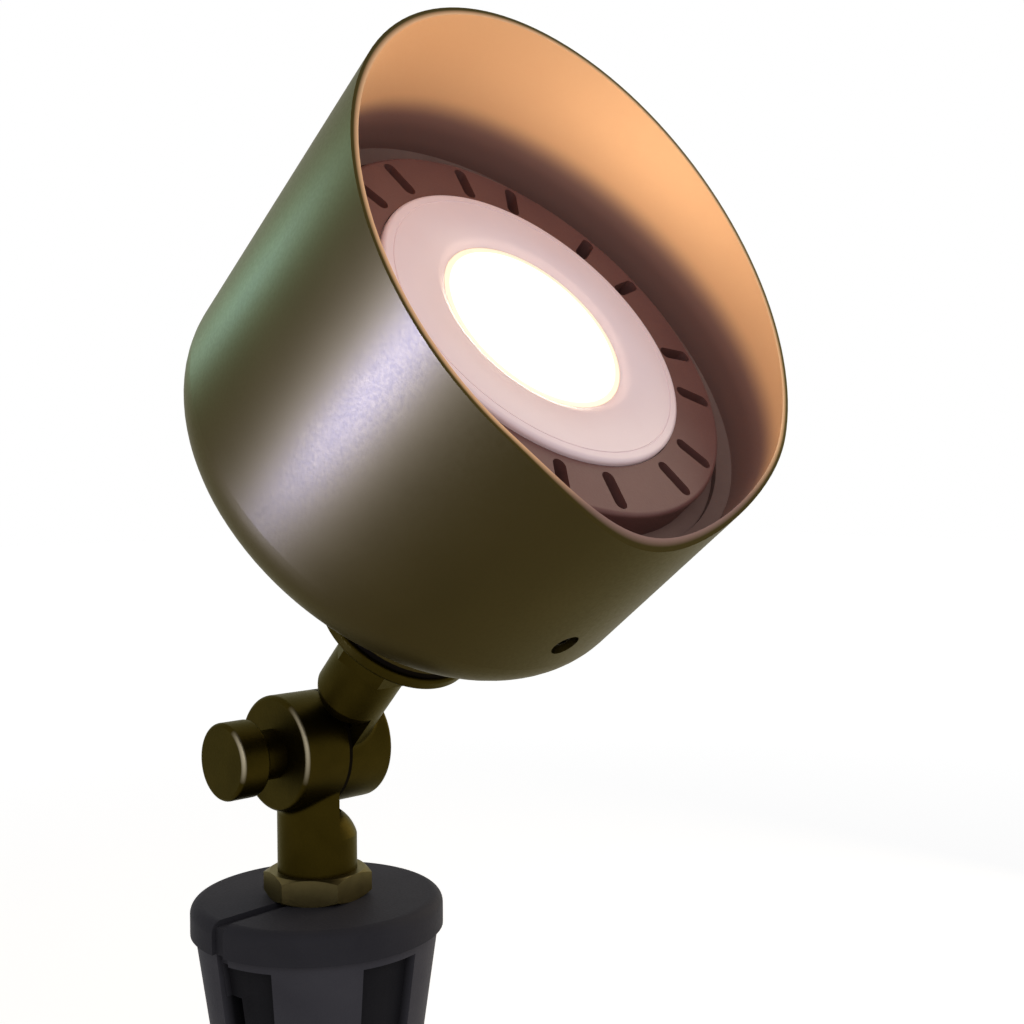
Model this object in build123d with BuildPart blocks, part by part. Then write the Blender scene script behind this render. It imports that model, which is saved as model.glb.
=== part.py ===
"""A stake-mounted landscape floodlight: a hooded brass can on a split hollow knuckle.

Frame: millimetres, +Z up. The origin is on the stake's axis at the ground line, which is the
underside of the stake's cap. The knuckle's barrel lies along X with its thumbscrew at -X, and
the light points towards -Y and up.
"""
import os
from math import cos, radians, sin, tan

from build123d import *

os.makedirs("parts", exist_ok=True)

# Ground stake
cap_radius = 33.7
cap_height = 8.4
cap_edge = 3.0
stake_radius = 32.4
stake_neck_radius = 21.5
stake_hub_length = 75.0
stake_length = 205.0
rib_count = 5
rib_share = 0.58
recess_depth = 3.2
recess_gap = 2.5
blade_thickness = 6.0
blade_root = 4.0
blade_tip_width = 5.0
stake_turn = 37.0
socket_depth = 34.0
wire_groove_turn = 85.0
wire_groove_width = 4.4
wire_groove_depth = 1.4
wire_window_height = 14.0

# Post, lock nut and the lower half of the knuckle
post_radius = 10.65
post_in_stake = 26.0
thread_clearance = 0.1
wire_bore_radius = 6.5
nut_across_flats = 25.4
nut_height = 7.0
nut_turn = 46.0
nut_chamfer_angle = 30.0
pivot_above_cap = 39.9
barrel_radius = 15.2
barrel_half_length = 14.1
barrel_edge = 1.2
barrel_wall = 3.6
threaded_wall = 7.2
barrel_cavity_radius = 10.0
knuckle_gasket_thickness = 1.0
relief_clearance = 0.4
neck_fillet = 2.0

# Thumbscrew
screw_radius = 4.0
screw_clearance = 0.05
screw_end_wall = 1.6
screw_tip_room = 1.5
collar_radius = 6.5
collar_length = 7.2
knob_radius = 10.0
knob_length = 8.5
knob_edge = 1.0

# Upper half of the knuckle and its arm
head_elevation = 37.4
arm_lean_angle = 8.6
arm_radius = 9.8
arm_bore_radius = 5.5
arm_reach = 52.0
hex_across_flats = 21.5
hex_length = 11.0
flange_radius = 21.0
flange_thickness = 3.5
flange_edge = 1.0
spigot_radius = 10.4
spigot_past_nut = 1.5
hub_gasket_thickness = 1.5
inner_nut_across_flats = 27.0
inner_nut_height = 5.5

# Housing: a domed can whose open end is a slanted hood
housing_radius = 62.0
housing_wall = 1.8
back_edge_radius = 16.5
dome_rise = 7.4
hub_radius = 20.0
hub_rise = 14.25
hub_setback = 36.2
hub_length = 15.5
hub_fillet = 2.5
hood_middle = 85.45
hood_slope = 12.5
lip_radius = 32.4
lip_drop = 5.7
hole_radius = 3.4
hole_height = 27.1
hole_count = 2

# Lamp carrier, its screws and the gasket
slide_gap = 0.05
carrier_wall = 2.8
carrier_length = 33.0
ledge_thickness = 3.0
ledge_overlap = 6.5
carrier_screw_radius = 2.5
carrier_screw_inside = 3.0
carrier_head_height = 1.5
gasket_thickness = 6.0
gasket_groove_width = 4.0
gasket_bead_width = 3.2
gasket_bead_rise = 1.6
gasket_bead_slope = 1.9

# Lamp
lamp_face = 63.25
lamp_depth = 34.6
lamp_edge = 1.0
lamp_flange_thickness = 7.6
lamp_flange_width = 13.0
slot_margin = 1.6
slot_width = 3.4
slot_pairs = 8
slot_pair_turn = 15.0
slot_half_angle = 8.75
lamp_neck_clearance = 5.5
lamp_tail_radius = 29.0
light_well_depth = 8.1
well_web = 5.5
bezel_rise = 1.4
bezel_edge = 1.2
bezel_depth = 3.1
diffuser_radius = 24.0
diffuser_thickness = 1.6
diffuser_drop = 0.4
diffuser_lip = 1.5
board_radius = 22.5
board_thickness = 1.6
emitter_size = 3.5
emitter_height = 0.8
emitter_rows = 3
emitter_pitch = 9.0
driver_well_radius = 24.5
driver_shoulder = 2.0
driver_board_inset = 7.0
driver_board_thickness = 1.6
capacitor_radius = 5.0
capacitor_height = 10.0
coil_radius = 6.5
coil_hole_radius = 2.6
coil_height = 6.0
driver_part_offset = 11.0
rear_cap_thickness = 4.0
rear_cap_boss_radius = 16.0
rear_cap_boss_height = 3.0
rear_cap_rim_width = 2.4
terminal_offset = 9.0
terminal_shank_radius = 2.0
terminal_shank_length = 6.0
terminal_head_radius = 3.6
terminal_head_height = 2.4
lug_radius = 4.4
lug_thickness = 0.8
lug_tongue_width = 4.0
lug_sleeve_radius = 1.9
lug_sleeve_start = 4.8
lug_sleeve_reach = 10.5
lead_radius = 1.2
lead_spread = 2.4
lead_bend = 3.0
lead_straight = 7.0
grommet_length = 8.0
grommet_head_radius = 7.5
grommet_head_height = 2.5

# Places that follow from the sizes above
pivot_height = cap_height + pivot_above_cap
pivot = Vector(0, 0, pivot_height)
arm_elevation = head_elevation + arm_lean_angle
forward = Vector(0, -cos(radians(head_elevation)), sin(radians(head_elevation)))
upward = Vector(0, sin(radians(head_elevation)), cos(radians(head_elevation)))
arm_direction = Vector(0, -cos(radians(arm_elevation)), sin(radians(arm_elevation)))
hub_face = arm_reach + hub_gasket_thickness
hub_offset = housing_radius - hub_setback
back_centre = pivot + arm_direction * hub_face + forward * hub_rise + upward * hub_offset
arm = Plane(origin=pivot, x_dir=(1, 0, 0), z_dir=arm_direction)
head = Plane(origin=back_centre, x_dir=(1, 0, 0), z_dir=forward)
head_side = Plane(origin=back_centre, x_dir=forward, z_dir=(-1, 0, 0))
head_axis = Axis(back_centre, forward)
barrel_plane = Plane(origin=pivot, x_dir=(0, 1, 0), z_dir=(1, 0, 0))
half_gasket = knuckle_gasket_thickness / 2
inner_radius = housing_radius - housing_wall
bead_radius = inner_radius - gasket_bead_width
lamp_radius = bead_radius - gasket_groove_width
ledge_radius = lamp_radius - ledge_overlap
bezel_radius = lamp_radius - lamp_flange_width
gasket_seat = lamp_face - lamp_flange_thickness
carrier_top = gasket_seat - gasket_thickness
carrier_start = carrier_top - carrier_length
lamp_tail = lamp_face - lamp_depth
driver_board_height = lamp_tail + driver_board_inset


def save(piece, name):
    """Label a finished piece and write it to its own file."""
    piece.label = name
    export_step(piece, f"parts/{name}.step")


def ring_profile(points):
    """Close a profile of (height along the head's axis, radius) points on the head's side plane."""
    with BuildSketch(head_side) as profile:
        with BuildLine():
            Polyline(*points, close=True)
        make_face()
    return profile.sketch


def stake_side(azimuth):
    """Upright plane through the stake's axis; azimuth turns from forward towards the thumbscrew."""
    outward = Vector(-sin(radians(azimuth)), -cos(radians(azimuth)), 0)
    return Plane(origin=(0, 0, 0), x_dir=outward, z_dir=outward.cross(Vector(0, 0, 1)))


def radial(angle, height):
    """Plane on the head's axis facing outwards; angle turns from straight up towards +X."""
    outward = Vector(1, 0, 0) * sin(radians(angle)) + upward * cos(radians(angle))
    return Plane(origin=back_centre + forward * height, x_dir=forward, z_dir=outward)


def nut_blank(across_flats, height):
    """Half section that turns both ends of a hexagon down to its flats; local y is the nut's axis."""
    flat = across_flats / 2
    corner = flat / cos(radians(30))
    rise = (corner - flat) * tan(radians(nut_chamfer_angle))
    return [(0, 0), (flat, 0), (corner, rise), (corner, height - rise), (flat, height), (0, height)]


def domed_relief(plane, side, stem_radius):
    """Cutter that rounds the half of a stem across the seam off to a dome; local y runs along the stem."""
    crown = barrel_radius + relief_clearance
    outside = stem_radius + relief_clearance
    seam = Plane(origin=plane.origin - plane.x_dir * side * half_gasket, z_dir=plane.x_dir * side)
    with BuildPart(mode=Mode.PRIVATE) as cutter:
        with BuildSketch(plane):
            with BuildLine():
                dome = TangentArc((0, crown), (outside, crown + outside), tangent=(1, 0))
                Polyline(
                    dome @ 1,
                    (barrel_radius, crown + outside),
                    (barrel_radius, 0),
                    (0, 0),
                    dome @ 0,
                )
            make_face()
        revolve(axis=Axis(plane.origin, plane.y_dir))
        split(bisect_by=seam)
    return cutter.part


def round_edges(builder, radius):
    """Every circular edge of a given radius on the piece being built."""
    circles = builder.edges().filter_by(GeomType.CIRCLE)
    return circles.filter_by(lambda edge: abs(edge.radius - radius) < 0.001)


# Ground stake: moulded cap, ribbed tapering hub, crossed blade, stem socket, wire groove and window
rib_angle = 360 / rib_count
recess_angle = rib_angle * (1 - rib_share)
blade_half_width = stake_neck_radius - recess_depth
with BuildPart() as ground_stake:
    Cylinder(cap_radius, cap_height, align=(Align.CENTER, Align.CENTER, Align.MIN))
    fillet(ground_stake.edges().group_by(Axis.Z)[-1], cap_edge)
    with BuildSketch(Plane.XZ):
        with BuildLine():
            Polyline(
                (0, 0),
                (stake_radius, 0),
                (stake_neck_radius, -stake_hub_length),
                (0, -stake_hub_length),
                close=True,
            )
        make_face()
    revolve(axis=Axis.Z)
    for turn in range(rib_count):
        recess_middle = stake_turn + rib_angle * (turn + 0.5)
        with BuildSketch(stake_side(recess_middle + recess_angle / 2)):
            with BuildLine():
                Polyline(
                    (stake_radius - recess_depth, -recess_gap),
                    (stake_radius + recess_depth, -recess_gap),
                    (stake_neck_radius + recess_depth, -stake_hub_length - recess_gap),
                    (stake_neck_radius - recess_depth, -stake_hub_length - recess_gap),
                    close=True,
                )
            make_face()
        revolve(axis=Axis.Z, revolution_arc=recess_angle, mode=Mode.SUBTRACT)
    for turn in range(2):
        with BuildSketch(stake_side(stake_turn + 90 * turn)):
            with BuildLine():
                Polyline(
                    (-blade_half_width, -stake_hub_length + blade_root),
                    (blade_half_width, -stake_hub_length + blade_root),
                    (blade_tip_width / 2, -stake_length + blade_tip_width),
                    (0, -stake_length),
                    (-blade_tip_width / 2, -stake_length + blade_tip_width),
                    close=True,
                )
            make_face()
        extrude(amount=blade_thickness / 2, both=True)
    with BuildSketch(Plane.XY.offset(cap_height)):
        Circle(post_radius + thread_clearance)
    extrude(amount=-socket_depth, mode=Mode.SUBTRACT)
    groove_floor = cap_height - wire_groove_depth
    groove_outside = cap_radius + wire_groove_depth
    with BuildSketch(stake_side(wire_groove_turn)):
        with BuildLine():
            Polyline(
                (0, groove_floor),
                (cap_radius - wire_groove_depth, groove_floor),
                (cap_radius - wire_groove_depth, 0),
                (stake_radius - wire_groove_depth, 0),
                (stake_neck_radius - wire_groove_depth, -stake_hub_length),
                (groove_outside, -stake_hub_length),
                (groove_outside, cap_height),
                (0, cap_height),
                close=True,
            )
        make_face()
        with Locations((0, cap_height - socket_depth)):
            Rectangle(stake_radius, wire_window_height, align=(Align.MIN, Align.MIN))
    extrude(amount=wire_groove_width / 2, both=True, mode=Mode.SUBTRACT)
save(ground_stake.part, "ground_stake")

# Lock nut: hexagon tightened down the stem onto the stake's cap
with BuildPart() as lock_nut:
    with BuildSketch(Plane.XY.offset(cap_height)):
        RegularPolygon(nut_across_flats / 2, 6, major_radius=False, rotation=-60 - nut_turn)
    extrude(amount=nut_height)
    with BuildSketch(Plane(origin=(0, 0, cap_height), x_dir=(1, 0, 0), z_dir=(0, -1, 0))):
        with BuildLine():
            Polyline(*nut_blank(nut_across_flats, nut_height), close=True)
        make_face()
    revolve(axis=Axis.Z, mode=Mode.INTERSECT)
    with BuildSketch(Plane.XY.offset(cap_height)):
        Circle(post_radius)
    extrude(amount=nut_height, mode=Mode.SUBTRACT)
save(lock_nut.part, "lock_nut")

# Lower knuckle: hollow stem and the half barrel on the thumbscrew's side
stem_bottom = Plane.XY.offset(cap_height - post_in_stake)
stem_length = post_in_stake + pivot_above_cap
cavity_depth = barrel_half_length - barrel_wall
with BuildPart() as lower_knuckle:
    with BuildSketch(barrel_plane.offset(-barrel_half_length)):
        Circle(barrel_radius)
    extrude(amount=barrel_half_length - half_gasket)
    fillet(lower_knuckle.edges().group_by(Axis.X)[0], barrel_edge)
    with BuildSketch(stem_bottom):
        Circle(post_radius)
    extrude(amount=stem_length)
    fillet(lower_knuckle.edges(Select.NEW).filter_by(GeomType.BSPLINE), neck_fillet)
    stem_side = Plane(origin=pivot, x_dir=(1, 0, 0), z_dir=(0, 1, 0))
    add(domed_relief(stem_side, 1, post_radius), mode=Mode.SUBTRACT)
    with BuildSketch(stem_bottom):
        Circle(wire_bore_radius)
    extrude(amount=stem_length, mode=Mode.SUBTRACT)
    with BuildSketch(barrel_plane.offset(-cavity_depth)):
        Circle(barrel_cavity_radius)
    extrude(amount=cavity_depth, mode=Mode.SUBTRACT)
    with BuildSketch(barrel_plane.offset(-barrel_half_length)):
        Circle(screw_radius + screw_clearance)
    extrude(amount=barrel_wall, mode=Mode.SUBTRACT)
save(lower_knuckle.part, "lower_knuckle")

# Knuckle gasket: the thin friction ring that shows as the barrel's seam
with BuildPart() as knuckle_gasket:
    with BuildSketch(barrel_plane.offset(-half_gasket)):
        Circle(barrel_radius)
        Circle(barrel_cavity_radius, mode=Mode.SUBTRACT)
    extrude(amount=knuckle_gasket_thickness)
save(knuckle_gasket.part, "knuckle_gasket")

# Clamp collar: sleeve under the thumbscrew's knob
collar_face = barrel_half_length + collar_length
with BuildPart() as clamp_collar:
    with BuildSketch(barrel_plane.offset(-collar_face)):
        Circle(collar_radius)
        Circle(screw_radius + screw_clearance, mode=Mode.SUBTRACT)
    extrude(amount=collar_length)
save(clamp_collar.part, "clamp_collar")

# Thumbscrew: round knob and a screw that crosses the seam into the upper half
screw_hole_end = barrel_half_length - screw_end_wall
with BuildPart() as thumbscrew:
    with BuildSketch(barrel_plane.offset(-collar_face - knob_length)):
        Circle(knob_radius)
    extrude(amount=knob_length)
    fillet(round_edges(thumbscrew, knob_radius), knob_edge)
    with BuildSketch(barrel_plane.offset(-collar_face)):
        Circle(screw_radius)
    extrude(amount=collar_face + screw_hole_end - screw_tip_room)
save(thumbscrew.part, "thumbscrew")

# Upper knuckle: the other half barrel, the arm, its wrench flats, flange and threaded spigot
nut_seat = hub_face + hub_length
spigot_end = nut_seat + inner_nut_height + spigot_past_nut
flange_back = arm_reach - flange_thickness
with BuildPart() as upper_knuckle:
    with BuildSketch(barrel_plane.offset(half_gasket)):
        Circle(barrel_radius)
    extrude(amount=barrel_half_length - half_gasket)
    fillet(upper_knuckle.edges().group_by(Axis.X)[-1], barrel_edge)
    with BuildSketch(arm):
        Circle(arm_radius)
    extrude(amount=flange_back)
    fillet(upper_knuckle.edges(Select.NEW).filter_by(GeomType.BSPLINE), neck_fillet)
    with BuildSketch(arm.offset(flange_back - hex_length)):
        RegularPolygon(hex_across_flats / 2, 6, major_radius=False)
    extrude(amount=hex_length)
    with BuildSketch(arm.offset(flange_back)):
        Circle(flange_radius)
    extrude(amount=flange_thickness)
    fillet(round_edges(upper_knuckle, flange_radius), flange_edge)
    with BuildSketch(arm.offset(arm_reach)):
        Circle(spigot_radius)
    extrude(amount=spigot_end - arm_reach)
    arm_side = Plane(origin=pivot, x_dir=(1, 0, 0), z_dir=Vector(1, 0, 0).cross(arm_direction))
    add(domed_relief(arm_side, -1, arm_radius), mode=Mode.SUBTRACT)
    with BuildSketch(arm):
        Circle(arm_bore_radius)
    extrude(amount=spigot_end, mode=Mode.SUBTRACT)
    with BuildSketch(barrel_plane):
        Circle(barrel_cavity_radius)
    extrude(amount=barrel_half_length - threaded_wall, mode=Mode.SUBTRACT)
    with BuildSketch(barrel_plane):
        Circle(screw_radius + screw_clearance)
    extrude(amount=screw_hole_end, mode=Mode.SUBTRACT)
save(upper_knuckle.part, "upper_knuckle")

# Hub gasket: flat ring between the arm's flange and the housing's hub
with BuildPart() as hub_gasket:
    with BuildSketch(arm.offset(arm_reach)):
        Circle(hub_radius)
        Circle(spigot_radius, mode=Mode.SUBTRACT)
    extrude(amount=hub_gasket_thickness)
save(hub_gasket.part, "hub_gasket")

# Housing: one domed can with an off-centre hub, its mouth cut on a slant that rolls into the lip
hood_tangent = tan(radians(hood_slope))
lip_level = housing_radius + lip_drop
hood_top = hood_middle + lip_level * hood_tangent
hood_corner = hood_middle - lip_level * hood_tangent
flat_radius = housing_radius - back_edge_radius
dome_radius = (flat_radius**2 + dome_rise**2) / (2 * dome_rise)
dome_centre = dome_radius - dome_rise


def can_section(inset):
    """Half section of the can's outside, drawn in by a wall thickness."""
    ball = dome_radius - inset
    wall = housing_radius - inset
    with BuildSketch(head_side) as section:
        with BuildLine():
            edge = (dome_centre - (ball**2 - wall**2) ** 0.5, wall)
            dome = RadiusArc((dome_centre - ball, 0), edge, ball)
            Polyline(dome @ 1, (hood_top, wall), (hood_top, 0), dome @ 0)
        make_face()
        back_corner = section.vertices().group_by(Axis.Y)[-1].sort_by(Axis.X)[0]
        fillet(back_corner, back_edge_radius - inset)
    return section.sketch


with BuildPart() as can_hollow:
    revolve(can_section(housing_wall), axis=head_axis)
    with BuildSketch(arm.offset(hub_face)):
        Circle(hub_radius)
    extrude(amount=hub_length, mode=Mode.SUBTRACT)

with BuildPart() as housing:
    revolve(can_section(0), axis=head_axis)
    with BuildSketch(arm.offset(hub_face)):
        Circle(hub_radius)
    extrude(amount=hub_length)
    fillet(housing.edges(Select.NEW).filter_by(GeomType.BSPLINE), hub_fillet)
    add(can_hollow.part, mode=Mode.SUBTRACT)
    with BuildSketch(head_side):
        with BuildLine():
            rim = FilletPolyline(
                (hood_top, lip_level),
                (hood_corner, -lip_level),
                (0, -lip_level),
                radius=lip_radius,
            )
            Polyline(
                rim @ 1,
                (0, -lip_level - lip_drop),
                (hood_top + lip_drop, -lip_level - lip_drop),
                (hood_top + lip_drop, lip_level),
                rim @ 0,
            )
        make_face()
    extrude(amount=lip_level, both=True, mode=Mode.SUBTRACT)
    with BuildSketch(arm.offset(hub_face)):
        Circle(spigot_radius + thread_clearance)
    extrude(amount=hub_length, mode=Mode.SUBTRACT)
    for turn in range(hole_count):
        with BuildSketch(radial(180 + 360 / hole_count * turn, hole_height)):
            Circle(hole_radius)
        extrude(amount=lip_level, mode=Mode.SUBTRACT)
save(housing.part, "housing")

# Inner nut: holds the can on the spigot, against the hub's inner face
with BuildPart() as inner_nut:
    with BuildSketch(arm.offset(nut_seat)):
        RegularPolygon(inner_nut_across_flats / 2, 6, major_radius=False)
        Circle(spigot_radius, mode=Mode.SUBTRACT)
    extrude(amount=inner_nut_height)
save(inner_nut.part, "inner_nut")

# Cable grommet: rubber plug in the end of the arm's bore
with BuildPart() as cable_grommet:
    with BuildSketch(arm.offset(spigot_end)):
        Circle(grommet_head_radius)
    extrude(amount=grommet_head_height)
    with BuildSketch(arm.offset(spigot_end)):
        Circle(arm_bore_radius)
    extrude(amount=-grommet_length)
save(cable_grommet.part, "cable_grommet")

# Lamp carrier: turned sleeve with an inner ledge, pinned in the can by three screws
carrier_radius = inner_radius - slide_gap
with BuildPart() as lamp_carrier:
    revolve(
        ring_profile(
            [
                (carrier_start, carrier_radius),
                (carrier_top, carrier_radius),
                (carrier_top, ledge_radius),
                (carrier_top - ledge_thickness, ledge_radius),
                (carrier_top - ledge_thickness, carrier_radius - carrier_wall),
                (carrier_start, carrier_radius - carrier_wall),
            ]
        ),
        axis=head_axis,
    )
    for turn in range(hole_count):
        with BuildSketch(radial(180 + 360 / hole_count * turn, hole_height)):
            Circle(carrier_screw_radius)
        extrude(amount=lip_level, mode=Mode.SUBTRACT)
save(lamp_carrier.part, "lamp_carrier")

# Set screws: heads sunk in the can's holes, shanks in the carrier
shank_end = carrier_radius - carrier_wall - carrier_screw_inside
with BuildPart() as set_screws:
    for turn in range(hole_count):
        outward = radial(180 + 360 / hole_count * turn, hole_height)
        with BuildSketch(outward.offset(carrier_radius)):
            Circle(hole_radius - slide_gap)
        extrude(amount=carrier_head_height)
        with BuildSketch(outward.offset(shank_end)):
            Circle(carrier_screw_radius)
        extrude(amount=carrier_radius - shank_end)
save(set_screws.part, "set_screws")

# Lamp gasket: rubber seat for the lamp's flange, with a bead against the can's wall
bead_low = gasket_seat + gasket_bead_rise
with BuildPart() as lamp_gasket:
    revolve(
        ring_profile(
            [
                (carrier_top, ledge_radius),
                (carrier_top, inner_radius),
                (bead_low + gasket_bead_slope, inner_radius),
                (bead_low, bead_radius),
                (gasket_seat, bead_radius),
                (gasket_seat, ledge_radius),
            ]
        ),
        axis=head_axis,
    )
save(lamp_gasket.part, "lamp_gasket")

# Lamp body: cast heat sink with a slotted flange, a light well in front and a driver well behind
light_well_radius = diffuser_radius - diffuser_lip
light_well_floor = lamp_face - light_well_depth
driver_well_floor = light_well_floor - well_web
bezel_seat = lamp_face - bezel_depth
slot_inner_radius = bezel_radius + slot_margin
slot_outer_radius = lamp_radius - slot_margin
board_back = driver_board_height + driver_board_thickness
narrow_well_radius = driver_well_radius - driver_shoulder
with BuildPart() as lamp_body:
    revolve(
        ring_profile(
            [
                (driver_well_floor, 0),
                (driver_well_floor, narrow_well_radius),
                (board_back, narrow_well_radius),
                (board_back, driver_well_radius),
                (lamp_tail, driver_well_radius),
                (lamp_tail, lamp_tail_radius),
                (gasket_seat, ledge_radius - lamp_neck_clearance),
                (gasket_seat, lamp_radius),
                (lamp_face, lamp_radius),
                (lamp_face, bezel_radius),
                (bezel_seat, bezel_radius),
                (bezel_seat, light_well_radius),
                (light_well_floor, light_well_radius),
                (light_well_floor, 0),
            ]
        ),
        axis=head_axis,
    )
    fillet(round_edges(lamp_body, lamp_radius).sort_by(head_axis)[-1], lamp_edge)
    for side in (-1, 1):
        with BuildSketch(head.offset(lamp_face)):
            with PolarLocations(
                (slot_inner_radius + slot_outer_radius) / 2,
                slot_pairs,
                start_angle=90 - slot_pair_turn + side * slot_half_angle,
            ):
                SlotOverall(slot_outer_radius - slot_inner_radius, slot_width)
        extrude(amount=gasket_seat - lamp_face, mode=Mode.SUBTRACT)
save(lamp_body.part, "lamp_body")

# Lamp bezel: pale moulded ring round the light, standing proud of the flange
bezel_top = lamp_face + bezel_rise
diffuser_top = bezel_top - diffuser_drop
diffuser_back = diffuser_top - diffuser_thickness
with BuildPart() as lamp_bezel:
    revolve(
        ring_profile(
            [
                (bezel_seat, light_well_radius),
                (diffuser_back, light_well_radius),
                (diffuser_back, diffuser_radius),
                (bezel_top, diffuser_radius),
                (bezel_top, bezel_radius),
                (bezel_seat, bezel_radius),
            ]
        ),
        axis=head_axis,
    )
    fillet(round_edges(lamp_bezel, bezel_radius).sort_by(head_axis)[-1], bezel_edge)
save(lamp_bezel.part, "lamp_bezel")

# Lamp diffuser: the disc that glows
with BuildPart() as lamp_diffuser:
    with BuildSketch(head.offset(diffuser_back)):
        Circle(diffuser_radius)
    extrude(amount=diffuser_thickness)
save(lamp_diffuser.part, "lamp_diffuser")

# Board with its emitters, on the floor of the light well
with BuildPart() as led_board:
    with BuildSketch(head.offset(light_well_floor)):
        Circle(board_radius)
    extrude(amount=board_thickness)
save(led_board.part, "led_board")

with BuildPart() as led_emitters:
    with BuildSketch(head.offset(light_well_floor + board_thickness)):
        with GridLocations(emitter_pitch, emitter_pitch, emitter_rows, emitter_rows):
            Rectangle(emitter_size, emitter_size)
    extrude(amount=emitter_height)
save(led_emitters.part, "led_emitters")

# Driver board against the well's shoulder, with a capacitor and a wound coil in front of it
with BuildPart() as driver_board:
    with BuildSketch(head.offset(driver_board_height)):
        Circle(driver_well_radius)
    extrude(amount=driver_board_thickness)
save(driver_board.part, "driver_board")

with BuildPart() as driver_components:
    with BuildSketch(head.offset(board_back)):
        with Locations((-driver_part_offset, 0)):
            Circle(capacitor_radius)
    extrude(amount=capacitor_height)
    with BuildSketch(head.offset(board_back)):
        with Locations((driver_part_offset, 0)):
            Circle(coil_radius)
            Circle(coil_hole_radius, mode=Mode.SUBTRACT)
    extrude(amount=coil_height)
save(driver_components.part, "driver_components")

# Rear cap: closes the driver well, clamps the board with its rim and carries the terminals
terminal_face = lamp_tail - rear_cap_thickness - rear_cap_boss_height
rim_inner = driver_well_radius - rear_cap_rim_width
with BuildPart() as lamp_rear_cap:
    revolve(
        ring_profile(
            [
                (terminal_face, 0),
                (terminal_face, rear_cap_boss_radius),
                (lamp_tail - rear_cap_thickness, rear_cap_boss_radius),
                (lamp_tail - rear_cap_thickness, lamp_tail_radius),
                (lamp_tail, lamp_tail_radius),
                (lamp_tail, driver_well_radius),
                (driver_board_height, driver_well_radius),
                (driver_board_height, rim_inner),
                (lamp_tail, rim_inner),
                (lamp_tail, 0),
            ]
        ),
        axis=head_axis,
    )
    with BuildSketch(head.offset(terminal_face)):
        with GridLocations(terminal_offset * 2, 0, 2, 1):
            Circle(terminal_shank_radius)
    extrude(amount=terminal_shank_length - lug_thickness, mode=Mode.SUBTRACT)
save(lamp_rear_cap.part, "lamp_rear_cap")

# Terminal screws and the lugs under their heads
lug_face = terminal_face - lug_thickness
with BuildPart() as terminal_screws:
    with BuildSketch(head.offset(lug_face)):
        with GridLocations(terminal_offset * 2, 0, 2, 1):
            Circle(terminal_head_radius)
    extrude(amount=-terminal_head_height)
    with BuildSketch(head.offset(lug_face)):
        with GridLocations(terminal_offset * 2, 0, 2, 1):
            Circle(terminal_shank_radius)
    extrude(amount=terminal_shank_length)
save(terminal_screws.part, "terminal_screws")

sleeve_height = terminal_face - lug_sleeve_radius
with BuildPart() as lead_terminals:
    with BuildSketch(head.offset(lug_face)):
        with GridLocations(terminal_offset * 2, 0, 2, 1):
            Circle(lug_radius)
            Rectangle(lug_tongue_width, lug_sleeve_reach, align=(Align.CENTER, Align.MAX))
        with GridLocations(terminal_offset * 2, 0, 2, 1):
            Circle(terminal_shank_radius, mode=Mode.SUBTRACT)
    extrude(amount=lug_thickness)
    for side in (-1, 1):
        sleeve_start = head.from_local_coords((side * terminal_offset, -lug_sleeve_start, sleeve_height))
        with BuildSketch(Plane(origin=sleeve_start, x_dir=(1, 0, 0), z_dir=upward * -1)):
            Circle(lug_sleeve_radius)
        extrude(amount=lug_sleeve_reach - lug_sleeve_start)
save(lead_terminals.part, "lead_terminals")

# Lamp leads: two short insulated wires from the grommet to the lugs
grommet_face = spigot_end + grommet_head_height
with BuildPart() as lamp_leads:
    for side in (-1, 1):
        lead_start = pivot + arm_direction * grommet_face + Vector(side * lead_spread, 0, 0)
        lead_rise = lead_start + arm_direction * lead_straight
        lug_end = head.from_local_coords((side * terminal_offset, -lug_sleeve_reach, sleeve_height))
        with BuildLine() as lead_path:
            lead_drop = lug_end - upward * lead_straight
            FilletPolyline(lead_start, lead_rise, lead_drop, lug_end, radius=lead_bend)
        with BuildSketch(Plane(origin=lead_start, x_dir=(1, 0, 0), z_dir=arm_direction)):
            Circle(lead_radius)
        sweep(path=lead_path.wires()[0])
save(lamp_leads.part, "lamp_leads")
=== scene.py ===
import bmesh
import bpy
import numpy as np
from mathutils import Matrix, Vector


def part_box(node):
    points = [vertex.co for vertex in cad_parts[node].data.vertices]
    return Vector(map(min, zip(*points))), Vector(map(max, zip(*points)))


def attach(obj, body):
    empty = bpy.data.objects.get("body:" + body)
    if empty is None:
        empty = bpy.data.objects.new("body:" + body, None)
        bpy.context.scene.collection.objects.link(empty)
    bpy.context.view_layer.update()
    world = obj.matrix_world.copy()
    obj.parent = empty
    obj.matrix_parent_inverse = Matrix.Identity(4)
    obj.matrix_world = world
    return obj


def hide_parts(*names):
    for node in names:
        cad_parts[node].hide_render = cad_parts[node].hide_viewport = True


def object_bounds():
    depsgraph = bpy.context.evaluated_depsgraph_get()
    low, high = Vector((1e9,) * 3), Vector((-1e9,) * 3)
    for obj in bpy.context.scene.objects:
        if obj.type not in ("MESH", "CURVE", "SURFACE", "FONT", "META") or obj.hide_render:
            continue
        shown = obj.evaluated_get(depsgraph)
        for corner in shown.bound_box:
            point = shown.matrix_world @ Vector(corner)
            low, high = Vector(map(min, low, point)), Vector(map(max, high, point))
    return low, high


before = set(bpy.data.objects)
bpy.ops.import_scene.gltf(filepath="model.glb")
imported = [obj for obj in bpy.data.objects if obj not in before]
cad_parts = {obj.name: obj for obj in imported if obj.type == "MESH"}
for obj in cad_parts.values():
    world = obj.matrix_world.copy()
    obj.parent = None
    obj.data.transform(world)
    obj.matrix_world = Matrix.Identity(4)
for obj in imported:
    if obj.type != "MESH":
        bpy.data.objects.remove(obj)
cad_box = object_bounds()

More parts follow.
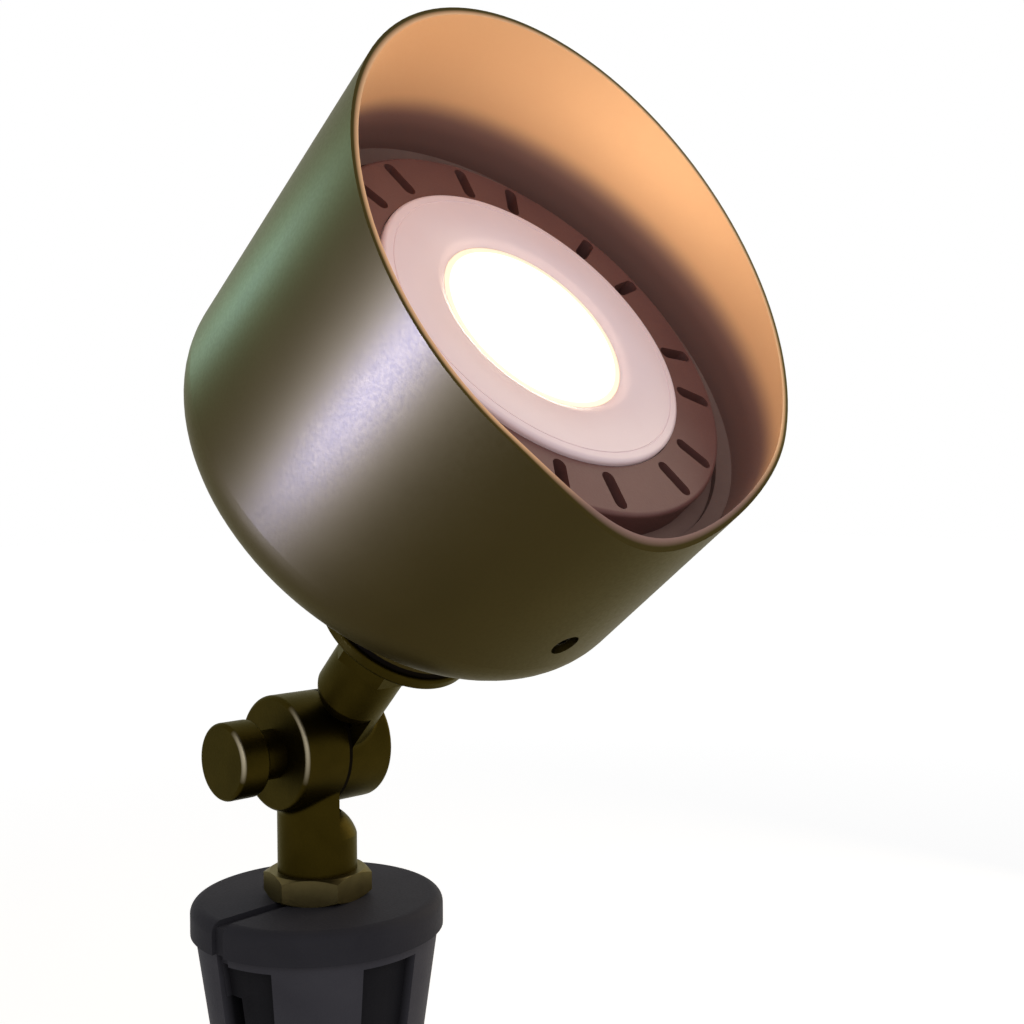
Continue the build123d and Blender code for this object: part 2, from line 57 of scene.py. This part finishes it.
# Ground stake
# One moulding of charcoal glass-filled nylon: cap, ribbed hub and crossed blade. The mould's spark
# finish leaves a dull fine grain. Painted shade darkens the hollows between the ribs and leaves the ribs
# paler.
# Named sizes are in millimetres here and below, except in the studio.
MM = 0.001
square_to_z = (1, 1, 0)
patch_detail = 4.0
grain_detail = 2.0
grain_low = 0.3
grain_high = 0.7
grain_relief = 0.2
gloss_swing = 0.04


def linear(code):
    """Turn an sRGB hex colour into the linear colour that a shader socket holds."""
    srgb = np.array([int(code[i:i + 2], 16) for i in (1, 3, 5)]) / 255
    return (*np.where(srgb <= 0.04045, srgb / 12.92, ((srgb + 0.055) / 1.055) ** 2.4), 1.0)


def blank(name, kind=bpy.data.materials):
    """Start a material, or a world, with an empty node tree."""
    owner = kind.new(name)
    owner.use_nodes = True
    owner.node_tree.nodes.clear()
    return owner


def add(owner, kind, inputs=(), **settings):
    """Add one node, set its properties, and fill its inputs with values or with other nodes' sockets."""
    node = owner.node_tree.nodes.new(kind)
    for name, value in settings.items():
        setattr(node, name, value)
    for name, value in dict(inputs).items():
        if isinstance(value, bpy.types.NodeSocket):
            owner.node_tree.links.new(value, node.inputs[name])
        else:
            node.inputs[name].default_value = value
    return node


def number(owner, operation, *values):
    """Work out a number from other numbers and give its socket."""
    return add(owner, "ShaderNodeMath", dict(enumerate(values)), operation=operation).outputs[0]


def vector(owner, operation, *values):
    """Work out a vector from one or two others and give its socket."""
    return add(owner, "ShaderNodeVectorMath", dict(enumerate(values)), operation=operation).outputs["Vector"]


def measure(owner, operation, *values):
    """Work out a length, distance or product of vectors and give its socket."""
    return add(owner, "ShaderNodeVectorMath", dict(enumerate(values)), operation=operation).outputs["Value"]


def ramp(owner, value, start, end, low=0.0, high=1.0, **settings):
    """Go from low to high while value goes from start to end, and give the socket."""
    inputs = {"Value": value, "From Min": start, "From Max": end, "To Min": low, "To Max": high}
    return add(owner, "ShaderNodeMapRange", inputs, **settings).outputs["Result"]


def blend(owner, share, first, second):
    """Go from the first colour to the second while share goes from 0 to 1, and give the socket."""
    return add(owner, "ShaderNodeMix", {0: share, 6: first, 7: second}, data_type="RGBA").outputs[2]


def noise(owner, place, size_mm, detail):
    """Give the socket of a soft noise between 0 and 1 with blotches of size_mm."""
    inputs = {"Vector": place, "Scale": 1 / (size_mm * MM), "Detail": detail}
    return add(owner, "ShaderNodeTexNoise", inputs).outputs["Fac"]


def place_on(owner):
    """Give the socket of a point's place in the shared frame, in metres."""
    return add(owner, "ShaderNodeTexCoord").outputs["Object"]


def shade(material, inputs):
    """Give a material its shader, filled with values or sockets."""
    shader = add(material, "ShaderNodeBsdfPrincipled", inputs)
    add(material, "ShaderNodeOutputMaterial", {"Surface": shader.outputs["BSDF"]})


def finish(name, dark, light, patch, grain, bump, roughness, specular=0.5, metal=0.0, edge="#ffffff"):
    """Make a finish of two close tones in soft patches, with a fine grain that breaks up its gloss.

    Patch and grain are sizes in millimetres. The tone goes from dark to light with the patches. The
    grain raises the surface by bump and shifts the roughness a little either way. Edge is the tint
    that a metal takes where it is seen at a grazing angle.
    """
    material = blank(name)
    place = place_on(material)
    patches = noise(material, place, patch, patch_detail)
    height = noise(material, place, grain, grain_detail)
    relief = {"Height": height, "Strength": bump, "Distance": grain * MM * grain_relief}
    smooth = roughness - gloss_swing
    rough = roughness + gloss_swing
    shade(material, {
        "Base Color": blend(material, patches, linear(dark), linear(light)),
        "Roughness": ramp(material, height, grain_low, grain_high, smooth, rough),
        "Normal": add(material, "ShaderNodeBump", relief).outputs["Normal"],
        "Specular IOR Level": specular,
        "Specular Tint": linear(edge),
        "Metallic": metal,
    })
    return material


def tone_input(material):
    """Give the input of a finish's shader that takes its tone."""
    return material.node_tree.nodes["Principled BSDF"].inputs["Base Color"]


def dress(material, *nodes):
    """Give carried-over solids their finish."""
    for node in nodes:
        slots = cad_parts[node].data.materials
        slots.clear()
        slots.append(material)


hub_top_radius = 32.4
hub_foot_radius = 21.5
hub_length = 75.0
rib_skin = 0.3
hollow_depth = 3.2
rib_paleness = 1.7
hollow_paleness = 0.25
cap_paleness = 1.0
nylon = finish("spark_finished_nylon", "#2b2a2e", "#363539", patch=14.0, grain=0.7, bump=0.35, roughness=0.6,
               specular=0.03)
place = place_on(nylon)
height = add(nylon, "ShaderNodeSeparateXYZ", {"Vector": place}).outputs["Z"]
radius = measure(nylon, "LENGTH", vector(nylon, "MULTIPLY", place, square_to_z))
rib_radius = ramp(nylon, height, -hub_length * MM, 0.0, hub_foot_radius * MM, hub_top_radius * MM)
depth = number(nylon, "SUBTRACT", rib_radius, radius)
# Painted shade: the deeper a point lies below the ribs' outer radius, the darker it is painted.
hollow_painted_shade = ramp(nylon, depth, rib_skin * MM, hollow_depth * MM, rib_paleness, hollow_paleness)
below_cap = number(nylon, "LESS_THAN", height, 0.0)
paleness = ramp(nylon, below_cap, 0.0, 1.0, cap_paleness, hollow_painted_shade)
plain_tone = tone_input(nylon).links[0].from_socket
nylon.node_tree.links.new(vector(nylon, "MULTIPLY", plain_tone, paleness), tone_input(nylon))
dress(nylon, "ground_stake")

# Knuckle castings
# The arm with its half barrel is a blasted brass casting and the collar is turned. Both are bronzed to a
# thin, nearly black brown with an olive cast, a little lighter in patches where it was wiped back.
edge_tint = "#dcdac8"
bronzing = {"dark": "#231c04", "light": "#342b0b", "patch": 9.0, "grain": 0.6, "bump": 0.2, "roughness": 0.42,
            "metal": 1.0, "edge": edge_tint}
bronze = finish("bronzed_brass_casting", **bronzing)
dress(bronze, "clamp_collar", "upper_knuckle")

# Knuckle rims
# Stem and thumbscrew have the same bronzing. On the front of the rounded rims of the barrel's face and
# of the knob, a thin pale line is a painted glint where these rims catch the light.
square_to_x = (0, 1, 1)
casting_round = 1.1
glint_side = (0, -0.95, 0.31)
glint_cosine = 0.72
seal_low, seal_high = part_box("knuckle_gasket")
knob_low, knob_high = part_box("thumbscrew")
barrel_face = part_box("lower_knuckle")[0].x
bolt = (seal_low + seal_high) / 2
rims = ((barrel_face, seal_high.z - seal_low.z), (knob_low.x, knob_high.z - knob_low.z))
glint_bronze = finish("bronzed_brass_casting_painted_glint", **bronzing)
place = place_on(glint_bronze)
along = add(glint_bronze, "ShaderNodeSeparateXYZ", {"Vector": place}).outputs["X"]
across = vector(glint_bronze, "MULTIPLY", vector(glint_bronze, "SUBTRACT", place, bolt), square_to_x)
from_bolt = measure(glint_bronze, "LENGTH", across)
toward_glint = measure(glint_bronze, "DOT_PRODUCT", vector(glint_bronze, "NORMALIZE", across), glint_side)
glint_facing = ramp(glint_bronze, toward_glint, glint_cosine, 1.0)
rim_glint = 0.0
for face, width in rims:
    outer = ramp(glint_bronze, from_bolt, width / 2 - casting_round * MM, width / 2)
    front = ramp(glint_bronze, along, face + casting_round * MM, face)
    rim_glint = number(glint_bronze, "MULTIPLY_ADD", outer, front, rim_glint)
share = number(glint_bronze, "MULTIPLY", rim_glint, glint_facing)
plain_tone = tone_input(glint_bronze).links[0].from_socket
# The pale tone on the rims' front is a painted glint, not wear.
glint_bronze.node_tree.links.new(blend(glint_bronze, share, plain_tone, linear("#c9bda2")), tone_input(glint_bronze))
dress(glint_bronze, "lower_knuckle", "thumbscrew")

# Lock nut
# Cut from hexagon brass bar, bronzed like the castings and rubbed paler by the spanner. It is screwed
# down the stem onto the stake's cap.
rubbed = finish("rubbed_bronzed_brass", "#4b4229", "#625838", patch=4.0, grain=0.5, bump=0.15, roughness=0.38,
                metal=1.0, edge=edge_tint)
dress(rubbed, "lock_nut")

# Knuckle and hub seals
# Flat rings stamped from black nitrile sheet and a moulded plug in the arm's bore, all squeezed
# between castings, so only a dull dark line of them shows.
nitrile = finish("nitrile_sheet", "#0c0904", "#130e07", patch=6.0, grain=0.5, bump=0.3, roughness=0.8,
                 specular=0.02)
dress(nitrile, "knuckle_gasket", "hub_gasket", "cable_grommet")

# Housing
# A drawn brass can with its mouth cut on a slant, held on the arm's spigot by a nut. Outside it is
# bronzed and lacquered, a dark brown with a clean pale highlight; inside it keeps a satin copper tone
# that the lamp lights and that runs out over the rubbed lip.
head_elevation = np.radians(37.4)
forward = Vector((0, -np.cos(head_elevation), np.sin(head_elevation)))
upward = Vector((0, np.sin(head_elevation), np.cos(head_elevation)))
lean = head_elevation - np.pi / 2
into_head = Matrix.Rotation(lean, 3, "X")
disc_low, disc_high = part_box("lamp_diffuser")
disc_middle = (disc_low + disc_high) / 2
can_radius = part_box("housing")[1].x / MM
can_wall = 1.8
wall_skin = 0.02
inner_wall_radius = can_radius - can_wall + wall_skin
lip_rub = 1.15
inside_start = -10.0
shade_start = 5.5
shade_end = 13.0
inner_metal = 0.2
lacquer_patch = 25.0
lacquer_patch_detail = 5.0
lacquer_grain = 0.8
lacquer_bump = 0.03
lacquer_relief = 0.1
lacquer_smooth = 0.44
lacquer_rough = 0.5
can = blank("lacquered_bronzed_brass")
place = place_on(can)
head_place = {"Vector": place, "Rotation": (lean, 0, 0), "Location": -(into_head @ disc_middle)}
from_disc = add(can, "ShaderNodeMapping", head_place).outputs["Vector"]
height = add(can, "ShaderNodeSeparateXYZ", {"Vector": from_disc}).outputs["Z"]
radius = measure(can, "LENGTH", vector(can, "MULTIPLY", from_disc, square_to_z))
within = ramp(can, radius, inner_wall_radius * MM, (inner_wall_radius + lip_rub) * MM, 1.0, 0.0)
ahead = number(can, "GREATER_THAN", height, inside_start * MM)
inside = number(can, "MULTIPLY", within, ahead)
patches = noise(can, place, lacquer_patch, lacquer_patch_detail)
outer_tone = blend(can, patches, linear("#30270a"), linear("#392f10"))
# Deep in the can, near the lamp, the copper is painted darker: painted shade where the lamp's light only
# grazes the wall.
out_of_shade = ramp(can, height, shade_start * MM, shade_end * MM, interpolation_type="SMOOTHSTEP")
inner_tone = blend(can, out_of_shade, linear("#8b6860"), linear("#e3b083"))
grain = noise(can, place, lacquer_grain, grain_detail)
relief = {"Height": grain, "Strength": lacquer_bump, "Distance": lacquer_relief * MM}
shade(can, {
    "Base Color": blend(can, inside, outer_tone, inner_tone),
    "Metallic": ramp(can, inside, 0.0, 1.0, 1.0, inner_metal),
    "Roughness": ramp(can, grain, grain_low, grain_high, lacquer_smooth, lacquer_rough),
    "Normal": add(can, "ShaderNodeBump", relief).outputs["Normal"],
    "Coat Weight": 0.06,
    "Coat Roughness": 0.36,
    "Specular Tint": linear(edge_tint),
})
dress(can, "housing")

# Fixings inside the can
# A zinc-plated steel nut on the spigot, a turned aluminium carrier, and the lamp's own terminals,
# lugs and leads.
zinc = finish("zinc_plated_steel", "#9a9a96", "#b8b6ae", patch=5.0, grain=0.4, bump=0.15, roughness=0.32,
              metal=1.0)
aluminium = finish("turned_aluminium", "#a7a7a6", "#bdbdbc", patch=12.0, grain=0.5, bump=0.2, roughness=0.38,
                   metal=1.0)
tinned = finish("tinned_brass", "#b0a98f", "#c8c2ab", patch=3.0, grain=0.3, bump=0.15, roughness=0.3,
                metal=1.0)
pvc = finish("pvc_insulation", "#0c0c0d", "#141415", patch=4.0, grain=0.4, bump=0.15, roughness=0.42)
dress(zinc, "inner_nut", "terminal_screws")
dress(aluminium, "lamp_carrier")
dress(tinned, "lead_terminals")
dress(pvc, "lamp_leads")

# Set screws
# Two button-headed socket screws of blackened steel, sunk through the can's wall into the carrier. The
# oiled black oxide stays dark, so only the socket's edge and the dome catch a point of light.
screw_low, screw_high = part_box("set_screws")
screws_middle = (screw_low + screw_high) / 2
head_sunk = 1.15
head_height = 2.85
head_radius = 3.3
socket_apothem = 1.25
socket_depth = 1.45
dome_drops = [(2.0, 0.05), (2.7, 0.25), (3.15, 0.6), (head_radius, 1.05)]
head_top = can_radius - head_sunk
socket_floor = head_top - socket_depth
head_foot = head_top - head_height
# A ring is its radius and its distance from the can's axis; the dome's start as drops below the top.
head_rings = [(0, socket_floor), (socket_apothem, socket_floor), (socket_apothem, head_top)]
head_rings += [(radius, head_top - drop) for radius, drop in dome_drops]
head_rings += [(head_radius, head_foot), (0, head_foot)]
hexagon_rings = [1, 2]
weld_gap = 0.0001
sharp_angle = np.radians(35)


def socket_screw(outward, turns=96):
    """Points and faces of one screw whose rings lie at a distance from the can's axis along outward.

    Ring and turn are the two parameters. The two socket rings have a hexagon's radius, apothem over
    the cosine of the turn from the middle of a flat; the others are circles.
    """
    turn = np.linspace(0, 2 * np.pi, turns, endpoint=False)
    hexagon = 1 / np.cos(turn % (np.pi / 3) - np.pi / 6)
    radius, reach = np.array(head_rings).T[..., None] * MM
    radius = np.repeat(radius, turns, axis=1)
    radius[hexagon_rings] *= hexagon
    spread = np.outer(np.cos(turn), forward) + np.outer(np.sin(turn), forward.cross(outward))
    middles = np.array(screws_middle) + reach * np.array(outward)
    points = middles[:, None] + radius[..., None] * spread
    index = np.arange(radius.size).reshape(radius.shape)
    following = np.roll(index, -1, axis=1)
    faces = np.stack([index[:-1], following[:-1], following[1:], index[1:]], axis=-1)
    return points.reshape(-1, 3), faces.reshape(-1, 4)


def closed_mesh(name, points, faces):
    """Make an object of points and four-cornered faces, with its poles welded and its faces outwards."""
    mesh = bpy.data.meshes.new(name)
    mesh.from_pydata(points.tolist(), [], faces.tolist())
    shell = bmesh.new()
    shell.from_mesh(mesh)
    bmesh.ops.remove_doubles(shell, verts=shell.verts, dist=weld_gap * MM)
    bmesh.ops.recalc_face_normals(shell, faces=shell.faces)
    shell.to_mesh(mesh)
    shell.free()
    mesh.shade_smooth()
    mesh.set_sharp_from_angle(angle=sharp_angle)
    piece = bpy.data.objects.new(name, mesh)
    bpy.context.collection.objects.link(piece)
    return piece


lower_points, lower_faces = socket_screw(-upward)
upper_points, upper_faces = socket_screw(upward)
screws = closed_mesh("socket_screws", np.concatenate([lower_points, upper_points]),
                     np.concatenate([lower_faces, upper_faces + len(lower_points)]))
black_oxide = finish("black_oxide_steel", "#0a0908", "#14120f", patch=2.0, grain=0.3, bump=0.2,
                     roughness=0.22, specular=0.6)
screws.data.materials.append(black_oxide)
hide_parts("set_screws")
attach(screws, "head")

# Lamp seat
# A ring moulded in grey-brown silicone rubber that sits on the carrier's ledge. Its bead meets the can's
# wall and its groove takes the lamp's flange.
silicone = finish("silicone_rubber", "#6f5750", "#80675e", patch=8.0, grain=0.5, bump=0.2, roughness=0.55,
                  specular=0.1)
dress(silicone, "lamp_gasket")

# Lamp body and its driver
# Die-cast aluminium, powder-coated a warm taupe. The emitters' board lies in front of it under the disc;
# behind it sit the driver's board and parts under a black phenolic cap.
taupe = finish("taupe_powder_coat", "#66433f", "#744f49", patch=10.0, grain=0.5, bump=0.25, roughness=0.42,
               specular=0.2)
laminate = finish("green_laminate", "#1c4a26", "#2b6136", patch=5.0, grain=0.4, bump=0.15, roughness=0.4)
phosphor = finish("phosphor_gel", "#d9b04a", "#e8c766", patch=2.0, grain=0.3, bump=0.1, roughness=0.25)
epoxy = finish("black_epoxy", "#121215", "#1d1d21", patch=3.0, grain=0.3, bump=0.15, roughness=0.4)
phenolic = finish("black_phenolic", "#101010", "#1c1b1a", patch=6.0, grain=0.5, bump=0.25, roughness=0.5)
dress(taupe, "lamp_body")
dress(laminate, "led_board", "driver_board")
dress(phosphor, "led_emitters")
dress(epoxy, "driver_components")
dress(phenolic, "lamp_rear_cap")


# Lamp bezel
# A ring moulded in white polycarbonate that sits in the flange and stands just proud of it, with a
# rounded rim, a fine groove near the rim and a shallow dish down to the disc.
def turned(name, profile, turns=192):
    """Carry a closed profile of (radius, height above the disc's middle) once round the lamp's axis.

    A point is the disc's middle + forward * height + radius * (X * sine + upward * cosine) of its turn.
    """
    turn = np.linspace(0, 2 * np.pi, turns, endpoint=False)[:, None, None]
    radius, height = np.array(profile).T[..., None] * MM
    outward = np.sin(turn) * np.array((1.0, 0, 0)) + np.cos(turn) * np.array(upward)
    points = np.array(disc_middle) + height * np.array(forward) + radius * outward
    index = np.arange(turns * len(profile)).reshape(turns, -1)
    following = np.roll(index, -1, axis=0)
    faces = np.stack([index, following, np.roll(following, -1, axis=1), np.roll(index, -1, axis=1)], axis=-1)
    return closed_mesh(name, points.reshape(-1, 3), faces.reshape(-1, 4))


def arc(centre, radius, start, end, count=9):
    """Points of a profile on a circle, from one angle to another in degrees."""
    angle = np.radians(np.linspace(start, end, count))
    return list(zip(centre[0] + radius * np.cos(angle), centre[1] + radius * np.sin(angle)))


bezel_top = 1.2
bezel_foot = -2.4
bezel_overlap = 0.2
bezel_inner = disc_high.x / MM - bezel_overlap
bezel_outer = 39.8
dish_radius = 26.2
dish_depth = 1.25
rim_round = 1.1
groove_radius = 37.3
groove_half = 0.2
flat_end = groove_radius - 2 * groove_half
bezel_profile = [(bezel_inner, bezel_foot)]
bezel_profile += [(bezel_inner, bezel_top - dish_depth), (dish_radius, bezel_top), (flat_end, bezel_top)]
bezel_profile += arc((groove_radius, bezel_top), groove_half, 180, 360)
bezel_profile += arc((bezel_outer - rim_round, bezel_top - rim_round), rim_round, 90, 0)
bezel_profile += [(bezel_outer, bezel_foot)]
bezel = turned("bezel_ring", bezel_profile)
polycarbonate = finish("white_polycarbonate", "#f3d9db", "#f8e1e3", patch=12.0, grain=0.5, bump=0.06,
                       roughness=0.32)
bezel.data.materials.append(polycarbonate)
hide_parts("lamp_bezel")
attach(bezel, "head")

# Lamp diffuser
# A pressed opal acrylic disc with a shallow crown, sitting in the bezel. The emitters behind it make it
# glow an even warm white that falls to a dim cream in the last three millimetres before its edge.
disc_clearance = 0.1
disc_radius = bezel_inner - disc_clearance
disc_top = -0.1
disc_foot = -0.75
crown = 0.25
crown_steps = 17
fade_start = 20.8
fade_end = 22.5
steps = np.linspace(0, disc_radius, crown_steps)
crown_line = list(zip(steps, disc_top + crown * (1 - (steps / disc_radius) ** 2)))
disc = turned("opal_disc", crown_line + [(disc_radius, disc_foot), (0, disc_foot)])
opal = blank("lit_opal_acrylic")
from_middle = measure(opal, "DISTANCE", place_on(opal), disc_middle)
faded = ramp(opal, from_middle, fade_start * MM, fade_end * MM)
shade(opal, {
    "Base Color": linear("#fff6e6"),
    "Roughness": 0.35,
    "Emission Color": blend(opal, faded, linear("#ffedd0"), linear("#3a3527")),
    "Emission Strength": 10.5,
})
disc.data.materials.append(opal)
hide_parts("lamp_diffuser")
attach(disc, "head")


# Studio
# A pale sweep of floor and a bright room that read as white, a gridded strip low on the left that draws
# the can's pale highlight, a weak pale blue light high behind that the olive metal shows as green, and
# two wide soft boxes for the shape. Its sizes are in metres.
def seen(owner):
    """Give a socket that is 1 for rays from the camera, off gloss or through glass, and 0 for others."""
    rays = add(owner, "ShaderNodeLightPath").outputs
    direct = number(owner, "MAXIMUM", rays["Is Camera Ray"], rays["Is Glossy Ray"])
    return number(owner, "MAXIMUM", direct, rays["Is Transmission Ray"])


white = linear("#ffffff")
floor_reach = 6.0
floor_gap = 0.001
floor_level = cad_box[0][2] - floor_gap
near_stake = 0.1
far_off = 1.6
near_lift = 0.5
far_lift = 0.66
paper_white = 0.8
corner_signs = ((-1, -1), (1, -1), (1, 1), (-1, 1))
floor_corners = [(x * floor_reach, y * floor_reach, floor_level) for x, y in corner_signs]
floor_mesh = bpy.data.meshes.new("floor")
floor_mesh.from_pydata(floor_corners, [], [(0, 1, 2, 3)])
floor = bpy.data.objects.new("floor", floor_mesh)
bpy.context.collection.objects.link(floor)
# The paper glows where it is seen, a little more far off, so that it reads as white.
paper = blank("white_paper_sweep")
from_stake = measure(paper, "DISTANCE", place_on(paper), (0, 0, floor_level))
level = ramp(paper, from_stake, near_stake, far_off, near_lift, far_lift)
lift = number(paper, "MULTIPLY", seen(paper), level)
glow = add(paper, "ShaderNodeEmission", {"Color": white, "Strength": lift})
matte = add(paper, "ShaderNodeBsdfDiffuse", {"Color": (paper_white, paper_white, paper_white, 1)})
sweep = add(paper, "ShaderNodeAddShader", {0: matte.outputs["BSDF"], 1: glow.outputs["Emission"]})
add(paper, "ShaderNodeOutputMaterial", {"Surface": sweep.outputs["Shader"]})
floor_mesh.materials.append(paper)

# The room is white where it is seen and dimmer as a light on the part.
room_fill = 0.45
room_seen = 1.0
world = blank("studio", bpy.data.worlds)
level = ramp(world, seen(world), 0.0, 1.0, room_fill, room_seen)
air = add(world, "ShaderNodeBackground", {"Color": white, "Strength": level})
add(world, "ShaderNodeOutputWorld", {"Surface": air.outputs["Background"]})
bpy.context.scene.world = world


def softbox(name, place, aim, size, power, colour, upright=(0, 0, 1), grid=180):
    """Hang a rectangular soft light at a place, facing an aim point, its height along upright.

    Size is its width and height in metres, power is in watts, and the grid is the angle in degrees that
    its honeycomb lets through.
    """
    light = bpy.data.lights.new(name, "AREA")
    light.shape = "RECTANGLE"
    light.size, light.size_y = size
    light.energy = power
    light.color = linear(colour)[:3]
    light.spread = np.radians(grid)
    holder = bpy.data.objects.new(name, light)
    bpy.context.collection.objects.link(holder)
    away = (Vector(place) - Vector(aim)).normalized()
    side = Vector(upright).cross(away).normalized()
    turn = Matrix((side, away.cross(side), away)).transposed()
    holder.matrix_world = Matrix.Translation(place) @ turn.to_4x4()


def near_disc(left, up, ahead):
    """A point so many millimetres from the disc's middle, in the head's own directions."""
    return disc_middle + (forward * ahead + upward * up - Vector((left, 0, 0))) * MM


# The strip is aimed past the mouth, so that the can's highlight fades towards its back.
head_middle = near_disc(left=0, up=0, ahead=-8)
far_wall = near_disc(left=30, up=50, ahead=18)
strip_aim = (-0.057, -0.211, 0.223)
strip_slant = 0.15
softbox("left_strip", (-0.457, 0.028, 0.040), strip_aim, size=(0.10, 0.28), power=1.7, colour="#828fff",
        upright=forward + upward * strip_slant, grid=24)
softbox("back_strip", (-0.15, 0.85, 0.50), far_wall, size=(0.12, 0.2), power=0.029, colour="#a6dffb", grid=12)
softbox("front_box", (-0.3, -0.8, 0.55), head_middle, size=(0.7, 0.7), power=2.2, colour="#f4f6ff")
softbox("right_box", (0.7, -0.1, 0.35), head_middle, size=(0.6, 0.8), power=2.8, colour="#ffe9c4")

# Camera
# Placed by matching the can's outline, the hood's rim and the stake's cap with the photograph, whose
# picture is square. Yaw, pitch and roll are in degrees and the focal length is in its pixels.
yaw, pitch, roll = np.radians((44.622, 1.546, -0.363))
camera_place = Vector((-222.8, -301.3, 121.0)) * MM
focal_pixels = 1384.8
picture_pixels = 1024
look = Vector((np.sin(yaw) * np.cos(pitch), np.cos(yaw) * np.cos(pitch), -np.sin(pitch)))
level_side = Vector((np.cos(yaw), -np.sin(yaw), 0))
level_top = level_side.cross(look)
side = level_side * np.cos(roll) + level_top * np.sin(roll)
top = level_top * np.cos(roll) - level_side * np.sin(roll)
lens = bpy.data.cameras.new("camera")
lens.sensor_width = 36
lens.lens = lens.sensor_width * (focal_pixels / picture_pixels)
lens.clip_start = 0.01
camera = bpy.data.objects.new("camera", lens)
bpy.context.collection.objects.link(camera)
camera.matrix_world = Matrix.Translation(camera_place) @ Matrix((side, top, -look)).transposed().to_4x4()
bpy.context.scene.camera = camera
bpy.context.scene.view_settings.view_transform = "Standard"
